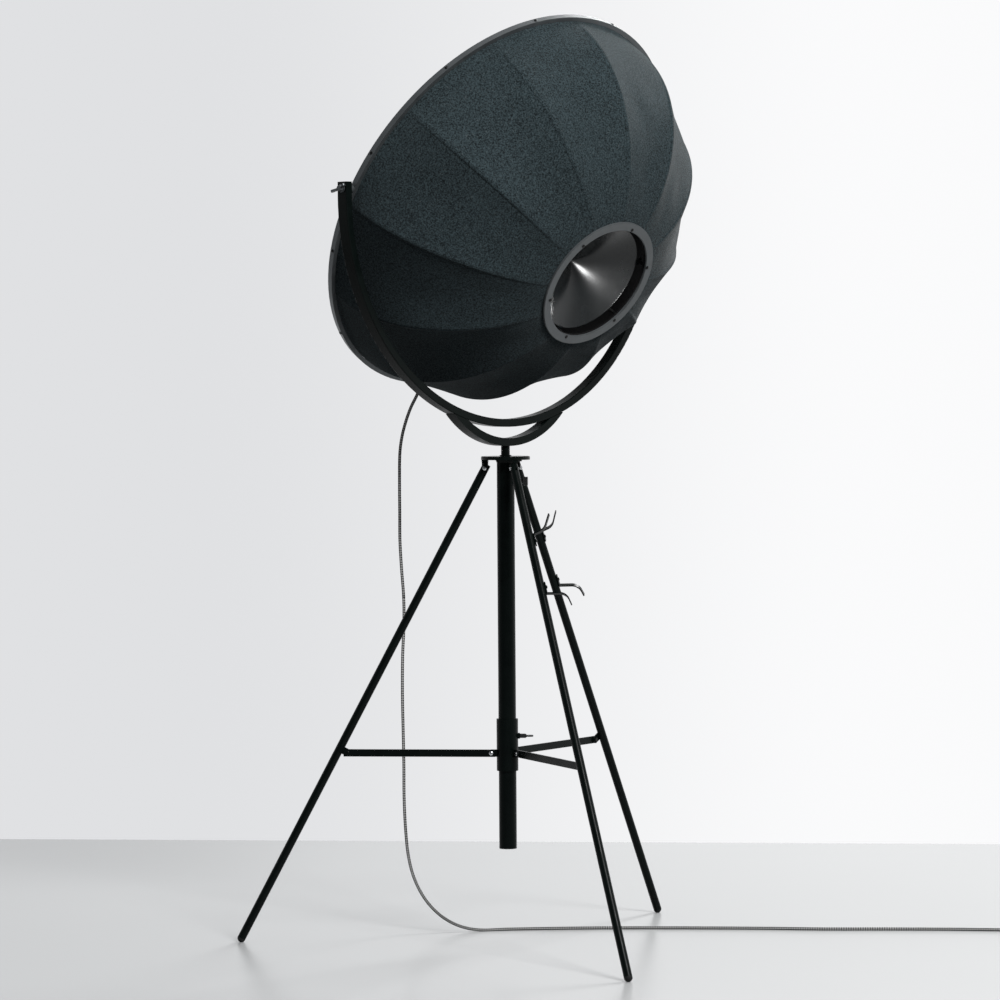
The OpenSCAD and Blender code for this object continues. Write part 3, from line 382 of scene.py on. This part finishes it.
def carried_frames(path):
    """Two directions square to the path at each point, carried along it without twist.

    Each step turns the last pair by the angle between the two tangents.
    """
    tangent = np.gradient(path, axis=0)
    tangent /= np.linalg.norm(tangent, axis=1)[:, None]
    side = np.cross(tangent[0], (0, 1, 0) if abs(tangent[0][1]) < 0.9 else (1, 0, 0))
    sides = []
    for t in tangent:
        side = side - t * side.dot(t)
        side = side / np.linalg.norm(side)
        sides.append(side)
    sides = np.array(sides)
    return tangent, sides, np.cross(tangent, sides)


def cord_along(name, path, around=14):
    """Round cord: at each point of the path a circle of its radius, square to the path, with closed ends."""
    tangent, one, other = carried_frames(path)
    angle = np.arange(around) * 2 * np.pi / around
    rings = path[:, None] + CORD_R * (np.cos(angle)[None, :, None] * one[:, None]
                                      + np.sin(angle)[None, :, None] * other[:, None])
    quads, row, col = net(len(path), around, loop_cols=True)
    run = np.concatenate([[0], np.cumsum(np.linalg.norm(np.diff(path, axis=0), axis=1))])
    uvs = np.stack([run[row], col / around], axis=-1)[:, ::-1]
    last = len(path) * around
    points = np.vstack([rings.reshape(-1, 3), path[0], path[-1]])
    faces = quads[:, ::-1].tolist()
    j = np.arange(around)
    k = (j + 1) % around
    start = np.stack([np.full(around, last), k, j], axis=1)
    end = np.stack([np.full(around, last + 1), last - around + j, last - around + k], axis=1)
    corners = np.vstack([uvs.reshape(-1, 2), np.zeros((6 * around, 2))])
    return put_together(name, points, faces + start.tolist() + end.tolist(), None, cord_braid, corners)


relief_tip = PIVOT - RELIEF_REACH * TO_TOP
coil = coil_loops()
floor_run = np.column_stack([np.array(FLOOR_RUN) * MM, np.full(len(FLOOR_RUN), CORD_R)])
route = smooth_route(np.vstack([relief_tip, np.array(DROP) * MM, floor_run, coil[0]]), ROUTE_STEPS)
top_path = route[:TOP_LAST * ROUTE_STEPS + 1]
hang_path = route[TOP_LAST * ROUTE_STEPS:HANG_LAST * ROUTE_STEPS + 1]
coil_path = smooth_route(np.vstack([coil, np.array(COIL_TAIL) * MM]), 2)
floor_path = np.vstack([route[HANG_LAST * ROUTE_STEPS:-1], coil_path])

cord_top = cord_along("cord_at_shade", top_path)
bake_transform(cord_top)
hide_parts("cord_top")
cord_hang = cord_along("cord_at_fork", hang_path)
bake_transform(cord_hang)
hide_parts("cord_hang")
cord_floor = cord_along("cord_to_plug", floor_path)
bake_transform(cord_floor)
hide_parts("cord_floor", "cord_coil")

# ---------------------------------------------------------------- cloth

SEAM_H = 0.0009                          # step of a felled seam, and the run of each of its edges
SEAM_FROM = 0.0011                       # where the step begins and ends beside its ridge
SEAM_TO = 0.0074
WAVE_H = 0.0009                          # long and short unevenness of a panel
RIPPLE_H = 0.0005
CLOTH_ROWS = 64

def sag(v, share):
    """Depth of the cloth inside its ribs: 4 u (1 - u) across a panel, sin(180 v^0.6) along it."""
    return 4 * PANEL_SAG * share * (1 - share) * np.sin(np.pi * v ** 0.6)


def bowl(v, out):
    """Point on the bowl's meridian at the share v of its curve, moved out along its normal.

    The meridian is a cubic curve a(1-v)^3 + 3b(1-v)^2 v + 3c(1-v) v^2 + d v^3 from the rim to the ring.
    """
    a = np.array([HOOP_HALF + 0.0005, CLOTH_R])
    b = a + (RIM_PULL, 0)
    d = np.array([HEM_S, HEM_R])
    c = d - RING_PULL * np.array([np.cos(RING_SLOPE), -np.sin(RING_SLOPE)])
    v = np.asarray(v)[..., None]
    u = 1 - v
    place = u ** 3 * a + 3 * u ** 2 * v * b + 3 * u * v ** 2 * c + v ** 3 * d
    run = u ** 2 * (b - a) + 2 * u * v * (c - b) + v ** 2 * (d - c)
    run /= np.linalg.norm(run, axis=-1)[..., None]
    return place[..., 0] - out * run[..., 1], place[..., 1] + out * run[..., 0]


def panel_columns(width):
    """Shares of a panel's width at which its columns stand, close together beside the two seams.

    width is an array of the panel's width in each row; the near columns keep their distance in metres.
    """
    left = np.array([0, 0.5, 1.1, 2.0, 4.0, 6.2, 6.8, 7.4, 9.0]) * MM
    right = np.array([9, 5, 2.5, 1.2]) * MM
    between = np.arange(1, 16) / 16
    width = width[:, None]
    first, last = left[-1] / width, 1 - right[0] / width
    return np.concatenate([left / width, first + (last - first) * between, 1 - right / width], axis=1)


def make_cloth():
    """The shade's cloth: twelve panels sewn together over ribs, as one skin with its lining.

    Outside, each row of a panel follows the sag, with a felled seam as a low step beside each
    ridge and a slight unevenness; the lining follows the plain sag a cloth's thickness inside.
    """
    v = np.linspace(0, 1, CLOTH_ROWS)
    width = 2 * np.pi / RIBS * bowl(v, 0)[1]
    share = panel_columns(width)
    per_panel = share.shape[1]
    panel = np.arange(RIBS)
    q = RIB_PHASE + (panel[None, :, None] + share[:, None, :]) * 2 * np.pi / RIBS
    q = q.reshape(CLOTH_ROWS, -1)
    share = np.tile(share, RIBS)
    across = share * width[:, None]
    v2 = v[:, None] + 0 * q
    fade = np.sin(np.pi * v2) ** 0.5
    step = (SEAM_H * np.clip((across - SEAM_FROM) / SEAM_H, 0, 1)
            * np.clip((SEAM_TO - across) / SEAM_H, 0, 1))
    number = np.repeat(panel, per_panel)[None]
    middle = np.sin(np.pi * np.clip(share, 0, 1))
    uneven = middle * fade * (WAVE_H * np.sin(9 * v2 + 2.3 * number) * np.cos(3 * np.pi * share + number)
                              + RIPPLE_H * np.sin(23 * v2 + 1.7 * number + 5 * share))
    outer_s, outer_r = bowl(v2, fade * step + uneven - sag(v2, share))
    inner_s, inner_r = bowl(v2, -sag(v2, share) - CLOTH_T)
    line = np.ones((1, q.shape[1]))
    # The profile runs from the front edge over the outside to the hem and back through the lining
    s = np.vstack([-HOOP_HALF * line, outer_s, HEM_S * line, (HEM_S - CLOTH_T) * line, inner_s[::-1],
                   -HOOP_HALF * line])
    r = np.vstack([CLOTH_R * line, outer_r, HEM_IN_R * line, HEM_IN_R * line, inner_r[::-1],
                   (CLOTH_R - CLOTH_T) * line])
    angle = np.vstack([q[:1], q, q[-1:], q[-1:], q[::-1], q[:1]])
    points = in_shade(s, r * np.cos(angle), r * np.sin(angle))
    quads, row, col = net(len(s), q.shape[1], loop_rows=True, loop_cols=True)
    down = np.concatenate([[0], np.cumsum(np.hypot(np.diff(s[:, 0]), np.diff(r[:, 0])))])
    down = np.append(down, 0)
    centred = np.vstack([across[:1], across, across[-1:], across[-1:], across[::-1], across[:1]])
    uvs = np.stack([centred[row % len(s), col % q.shape[1]], down[row]], axis=-1)
    cloth = put_together("shade_cloth_panels", points, quads[:, ::-1].tolist(), "shade", charcoal_felt,
                         uvs[:, ::-1])
    # The lining faces get the near-black felt, a painted shade inside the bowl
    cloth.data.materials.append(painted_shade_felt)
    lining_from = CLOTH_ROWS + 2
    index = (row.min(axis=1) >= lining_from).astype(np.int32)
    cloth.data.polygons.foreach_set("material_index", index)
    return cloth


cloth = make_cloth()
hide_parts("shade_cloth")

# ---------------------------------------------------------------- funnel


def make_funnel():
    """Thin funnel: its depth under the rim falls with a power of the radius, down to a fine tip."""
    share = np.linspace(0.004, 1, 60) ** 1.3
    r = CONE_R * share
    s = CONE_S - CONE_DEPTH * (1 - share ** CONE_FLARE)
    bead = (CONE_S, CONE_R) + np.array([[0.6, 0.5], [0, 1.2], [-1.5, 0.8]]) * MM
    outline = np.vstack([np.column_stack([s, r]), bead, np.column_stack([s - CONE_T, r])[::-1]])
    return turned("funnel_sheet", outline[::-1], "shade", funnel_black, sides=256)


funnel = make_funnel()
dress(funnel_black, "funnel")

# ---------------------------------------------------------------- floor, world and lights


FLOOR_TONES = ((0.55, 0.558, 0.562, 1), (0.59, 0.598, 0.602, 1))
FLOOR_BOUNCE = (0.06, 0.06, 0.06, 1)     # the floor for the light that it throws up
# Wall tones: the grey one is a painted shade on the left of the wall, the white one the lit wall on the right
WALL_TONES_WITH_PAINTED_SHADE = ((0.745, 0.752, 0.768, 1), (0.96, 0.962, 0.97, 1))
DIM_ROOM = (0.08, 0.085, 0.09, 1)
NO_LIGHT = (0.0, 0.0, 0.0, 1)
SKY_LIGHT = (0.42, 0.425, 0.43, 1)
LAMP_AIM = (0, 0, 1.4)
CARD_AIM = (0.2, -0.15, 1.33)            # middle of the funnel


def seen_directly(tree, path):
    """One for rays from the camera, from gloss and through glass, and nought for scattered light."""
    return calc(tree, "MAXIMUM", path.outputs["Is Camera Ray"],
                calc(tree, "MAXIMUM", path.outputs["Is Glossy Ray"], path.outputs["Is Transmission Ray"]))


def make_floor():
    """Pale polished floor that ends where the photograph's wall begins, and throws little light up."""
    material, tree, shader = new_material("studio_floor", Roughness=0.25, Specular_IOR_Level=0.4)
    place = add(tree, "TexCoord").outputs["Object"]
    cloud = add(tree, "TexNoise", None, Vector=place, Scale=0.8, Detail=2.0).outputs[0]
    pale = mix(tree, cloud, *FLOOR_TONES)
    seen = seen_directly(tree, add(tree, "LightPath"))
    tree.links.new(mix(tree, seen, FLOOR_BOUNCE, pale), shader.inputs["Base Color"])
    near, far, side = -9.5, 1.73, 9.0
    corners = [[-side, near, 0], [side, near, 0], [side, far, 0], [-side, far, 0]]
    floor = put_together("studio_floor", corners, [[0, 1, 2, 3]], None, material)


def make_world():
    """Light that comes from above and from the right, and the wall that the camera sees.

    Gloss sees the wall behind the lamp too, and a dim room on the camera's side of it.
    """
    world = bpy.data.worlds.new("studio_wall")
    world.use_nodes = True
    tree = world.node_tree
    background = tree.nodes["Background"]
    direction = add(tree, "SeparateXYZ", None, Vector=add(tree, "TexCoord").outputs["Generated"])
    x, y, z = direction.outputs
    across = spread(tree, x, -0.18, 0.0, 0.0, 1.0, soft=True)
    # Painted shade across the wall: greyer towards the left
    wall = mix(tree, across, *WALL_TONES_WITH_PAINTED_SHADE)
    room = mix(tree, spread(tree, y, -0.6, 0.2, 0.0, 1.0), DIM_ROOM, wall)
    path = add(tree, "LightPath")
    seen = seen_directly(tree, path)
    image = mix(tree, path.outputs["Is Glossy Ray"], wall, room)
    from_right = spread(tree, x, -1.0, 1.0, 0.0, 1.0, soft=True)
    from_above = spread(tree, z, -0.15, 0.7, 0.0, 1.0)
    share = calc(tree, "ADD", calc(tree, "MULTIPLY", from_right, 0.15),
                 calc(tree, "MULTIPLY", from_above, 0.85))
    light = mix(tree, share, NO_LIGHT, SKY_LIGHT)
    tree.links.new(mix(tree, seen, light, image), background.inputs["Color"])
    background.inputs["Strength"].default_value = 1.0
    bpy.context.scene.world = world


def lamp(name, place, aim, size, power, only_on=()):
    """Rectangular soft light that faces its aim; a card shows only in the gloss of the pieces named."""
    light = bpy.data.lights.new(name, "AREA")
    light.shape = "RECTANGLE"
    light.size, light.size_y = size
    light.energy = power
    thing = bpy.data.objects.new(name, light)
    thing.location = place
    thing.visible_diffuse = not only_on
    if only_on:
        lit = bpy.data.collections.new(name + "_shows_on")
        for piece in only_on:
            lit.objects.link(piece)
        thing.light_linking.receiver_collection = lit
    thing.rotation_euler = (Vector(aim) - Vector(place)).to_track_quat("-Z", "Y").to_euler()
    bpy.context.scene.collection.objects.link(thing)


make_floor()
make_world()
lamp("key_light", (2.0, 3.6, 4.3), LAMP_AIM, (1.4, 2.2), 200)
lamp("front_light", (2.9, -3.8, 4.4), LAMP_AIM, (1.6, 1.2), 245)
mirrors = (funnel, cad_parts["funnel"])
lamp("low_card", (1.45, -2.1, 0.2), CARD_AIM, (0.8, 0.8), 150, only_on=mirrors)
lamp("back_card", (2.2, 2.25, 1.0), CARD_AIM, (0.8, 1.0), 130, only_on=mirrors)
bpy.context.scene.view_settings.view_transform = "Standard"
